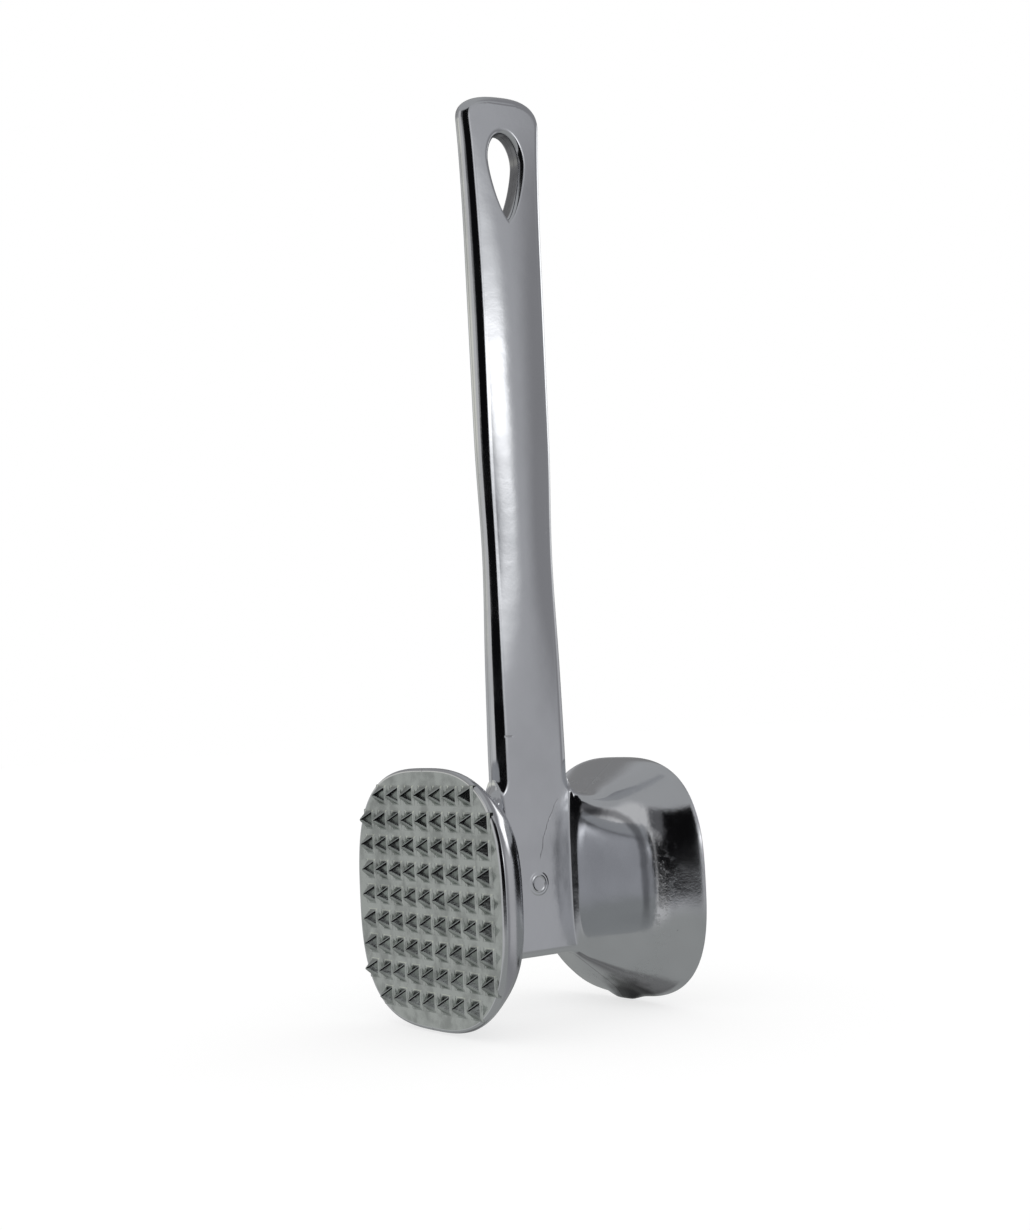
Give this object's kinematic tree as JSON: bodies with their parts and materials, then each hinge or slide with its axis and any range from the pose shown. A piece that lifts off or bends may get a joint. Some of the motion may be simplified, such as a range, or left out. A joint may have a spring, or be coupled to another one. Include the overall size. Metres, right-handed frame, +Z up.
{
  "type": "meat mallet",
  "caption": "Double-faced die-cast aluminium meat mallet with a fine-toothed and a coarse-toothed face and a hanging hole.",
  "frame": {"origin": "under the middle of the head, at the height of the lowest point (the gate stub under the coarse face's rim)", "axes": "+Z up the handle from the head to the hanging hole, -X out of the fine-toothed face, +X out of the coarse-toothed face, -Y the broad side shown in the picture; y = 0 is the casting's parting plane"},
  "size_m": [0.0729, 0.0642, 0.2411],
  "materials": {
    "cast_body": "polished die casting",
    "tooth_plate": "as cast"
  },
  "bodies": {
    "root": {"handle": "cast_body", "head_hub": "cast_body", "fine_bell": "cast_body", "coarse_bell": "cast_body", "fine_tooth_plate": "tooth_plate", "coarse_tooth_plate": "tooth_plate"}
  },
  "joints": []
}
